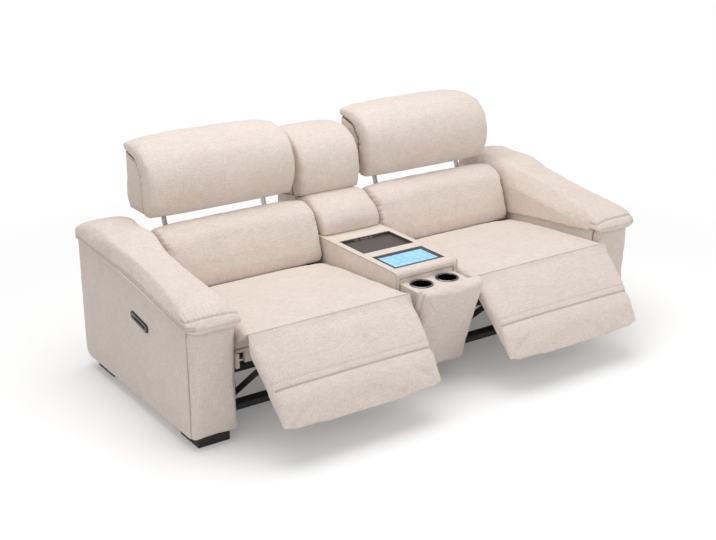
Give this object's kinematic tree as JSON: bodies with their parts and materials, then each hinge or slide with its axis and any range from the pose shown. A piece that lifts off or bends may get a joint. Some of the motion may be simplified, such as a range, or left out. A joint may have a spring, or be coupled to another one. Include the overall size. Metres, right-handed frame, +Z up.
{
  "type": "two-seat motion sofa with drop-down console",
  "caption": "Two-seat power recliner sofa in pale woven fabric with padded arms, raised headrests and a fixed centre console with a tilt-out cup drawer.",
  "frame": {"origin": "centre of the sofa's plan, on the floor", "axes": "+X to the right as seen from the front, -Y to the front, +Z up"},
  "size_m": [2.3, 1.3781, 0.9886],
  "materials": {
    "cover_fabric": "woven chenille upholstery over foam, cream beige",
    "board_fabric": "the same fabric stretched over a timber board",
    "timber": "raw pine and plywood, unvarnished",
    "foot_plastic": "black moulded plastic",
    "frame_steel": "black powder-coated steel",
    "bar_steel": "plain grey steel",
    "motor_plastic": "black motor housing",
    "tray_plastic": "brownish-grey tray",
    "socket_metal": "small silver fittings",
    "bezel_plastic": "black panel frame",
    "screen_glass": "lit panel, pale cyan blue, plain",
    "cup_plastic": "black cup liner",
    "bright_ring": "polished ring",
    "control_plastic": "black switch housing",
    "button_plastic": "dark grey button",
    "supply_plastic": "black power unit"
  },
  "bodies": {
    "base": {"arm_shell_left": "board_fabric", "arm_shell_right": "board_fabric", "arm_front_panels": "cover_fabric", "arm_pad_left": "cover_fabric", "arm_pad_right": "cover_fabric", "timber_frames": "timber", "feet": "foot_plastic", "base_frame": "frame_steel", "console_shell": "board_fabric", "storage_tray": "tray_plastic", "charging_sockets": "socket_metal", "display_bezel": "bezel_plastic", "display_screen": "screen_glass", "centre_back_cover": "board_fabric", "power_supply": "supply_plastic", "centre_back_cushion": "cover_fabric", "centre_head_pad": "cover_fabric", "centre_head_shell": "cover_fabric", "control_housings": "control_plastic", "control_rings": "bright_ring", "drawer_hinge_pins": "frame_steel", "actuator_motors": "motor_plastic"},
    "cup_drawer": {"drawer_front_panel": "cover_fabric", "drawer_box": "board_fabric", "cup_liners": "cup_plastic", "cup_rings": "bright_ring"},
    "seat_left": {"seat_cushion_left": "cover_fabric", "seat_box_left": "board_fabric", "seat_mechanism_left": "frame_steel"},
    "drive_tube_left": {"drive_tube_left": "frame_steel"},
    "legrest_links_left": {"legrest_links_left": "frame_steel"},
    "legrest_left": {"legrest_cushion_left": "cover_fabric", "legrest_brackets_left": "frame_steel"},
    "back_left": {"back_cushion_left": "cover_fabric", "back_shell_left": "board_fabric", "back_brackets_left": "frame_steel"},
    "headrest_left": {"headrest_pad_left": "cover_fabric", "headrest_shell_left": "cover_fabric", "headrest_bars_left": "bar_steel"},
    "button_1_left": {"control_button_1_left": "button_plastic"},
    "button_2_left": {"control_button_2_left": "button_plastic"},
    "button_3_left": {"control_button_3_left": "button_plastic"},
    "button_4_left": {"control_button_4_left": "button_plastic"},
    "seat_right": {"seat_cushion_right": "cover_fabric", "seat_box_right": "board_fabric", "seat_mechanism_right": "frame_steel"},
    "drive_tube_right": {"drive_tube_right": "frame_steel"},
    "legrest_links_right": {"legrest_links_right": "frame_steel"},
    "legrest_right": {"legrest_cushion_right": "cover_fabric", "legrest_brackets_right": "frame_steel"},
    "back_right": {"back_cushion_right": "cover_fabric", "back_shell_right": "board_fabric", "back_brackets_right": "frame_steel"},
    "headrest_right": {"headrest_pad_right": "cover_fabric", "headrest_shell_right": "cover_fabric", "headrest_bars_right": "bar_steel"},
    "button_1_right": {"control_button_1_right": "button_plastic"},
    "button_2_right": {"control_button_2_right": "button_plastic"},
    "button_3_right": {"control_button_3_right": "button_plastic"},
    "button_4_right": {"control_button_4_right": "button_plastic"}
  },
  "joints": [
    {"name": "cup_drawer_tilt", "type": "hinge", "parent": "base", "child": "cup_drawer", "pos_m": [0, -0.345, 0.083], "axis": [1, 0, 0], "range_deg": [-19, 0]},
    {"name": "seat_slide_left", "type": "slide", "parent": "base", "child": "seat_left", "axis": [0, 1, 0], "range_m": [-0.055, 0.07]},
    {"name": "legrest_swing_left", "type": "hinge", "parent": "seat_left", "child": "legrest_left", "pos_m": [-0.5425, -0.447, 0.465], "axis": [1, 0, 0], "range_deg": [-36.4, 46.3]},
    {"name": "drive_tube_turn_left", "type": "hinge", "parent": "seat_left", "child": "drive_tube_left", "pos_m": [-0.5425, -0.227, 0.275], "axis": [1, 0, 0], "range_deg": [-36.4, 46.3]},
    {"name": "legrest_link_turn_left", "type": "hinge", "parent": "drive_tube_left", "child": "legrest_links_left", "pos_m": [-0.5425, -0.25056, 0.14104], "axis": [1, 0, 0], "range_deg": [-46.3, 36.4]},
    {"name": "back_recline_left", "type": "hinge", "parent": "seat_left", "child": "back_left", "pos_m": [-0.5425, 0.253, 0.372], "axis": [-1, 0, 0], "range_deg": [0, 25]},
    {"name": "headrest_raise_left", "type": "slide", "parent": "back_left", "child": "headrest_left", "axis": [0, 0.3256, 0.9455], "range_m": [-0.015, 0.045]},
    {"name": "button_1_press_left", "type": "slide", "parent": "base", "child": "button_1_left", "axis": [1, 0, 0], "range_m": [0, 0.0012], "stiffness_N_per_m": 800},
    {"name": "button_2_press_left", "type": "slide", "parent": "base", "child": "button_2_left", "axis": [1, 0, 0], "range_m": [0, 0.0012], "stiffness_N_per_m": 800},
    {"name": "button_3_press_left", "type": "slide", "parent": "base", "child": "button_3_left", "axis": [1, 0, 0], "range_m": [0, 0.0012], "stiffness_N_per_m": 800},
    {"name": "button_4_press_left", "type": "slide", "parent": "base", "child": "button_4_left", "axis": [1, 0, 0], "range_m": [0, 0.0012], "stiffness_N_per_m": 800},
    {"name": "seat_slide_right", "type": "slide", "parent": "base", "child": "seat_right", "axis": [0, 1, 0], "range_m": [-0.055, 0.07]},
    {"name": "legrest_swing_right", "type": "hinge", "parent": "seat_right", "child": "legrest_right", "pos_m": [0.5425, -0.447, 0.465], "axis": [1, 0, 0], "range_deg": [-36.4, 46.3]},
    {"name": "drive_tube_turn_right", "type": "hinge", "parent": "seat_right", "child": "drive_tube_right", "pos_m": [0.5425, -0.227, 0.275], "axis": [1, 0, 0], "range_deg": [-36.4, 46.3]},
    {"name": "legrest_link_turn_right", "type": "hinge", "parent": "drive_tube_right", "child": "legrest_links_right", "pos_m": [0.5425, -0.25056, 0.14104], "axis": [1, 0, 0], "range_deg": [-46.3, 36.4]},
    {"name": "back_recline_right", "type": "hinge", "parent": "seat_right", "child": "back_right", "pos_m": [0.5425, 0.253, 0.372], "axis": [-1, 0, 0], "range_deg": [0, 25]},
    {"name": "headrest_raise_right", "type": "slide", "parent": "back_right", "child": "headrest_right", "axis": [0, 0.3256, 0.9455], "range_m": [-0.015, 0.045]},
    {"name": "button_1_press_right", "type": "slide", "parent": "base", "child": "button_1_right", "axis": [-1, 0, 0], "range_m": [0, 0.0012], "stiffness_N_per_m": 800},
    {"name": "button_2_press_right", "type": "slide", "parent": "base", "child": "button_2_right", "axis": [-1, 0, 0], "range_m": [0, 0.0012], "stiffness_N_per_m": 800},
    {"name": "button_3_press_right", "type": "slide", "parent": "base", "child": "button_3_right", "axis": [-1, 0, 0], "range_m": [0, 0.0012], "stiffness_N_per_m": 800},
    {"name": "button_4_press_right", "type": "slide", "parent": "base", "child": "button_4_right", "axis": [-1, 0, 0], "range_m": [0, 0.0012], "stiffness_N_per_m": 800}
  ],
  "couplings": [
    {"joint": "legrest_swing_left", "follows": "seat_slide_left", "rad_per_m": 11.5},
    {"joint": "drive_tube_turn_left", "follows": "seat_slide_left", "rad_per_m": 11.5},
    {"joint": "legrest_link_turn_left", "follows": "seat_slide_left", "rad_per_m": -11.5},
    {"joint": "legrest_swing_right", "follows": "seat_slide_right", "rad_per_m": 11.5},
    {"joint": "drive_tube_turn_right", "follows": "seat_slide_right", "rad_per_m": 11.5},
    {"joint": "legrest_link_turn_right", "follows": "seat_slide_right", "rad_per_m": -11.5}
  ]
}
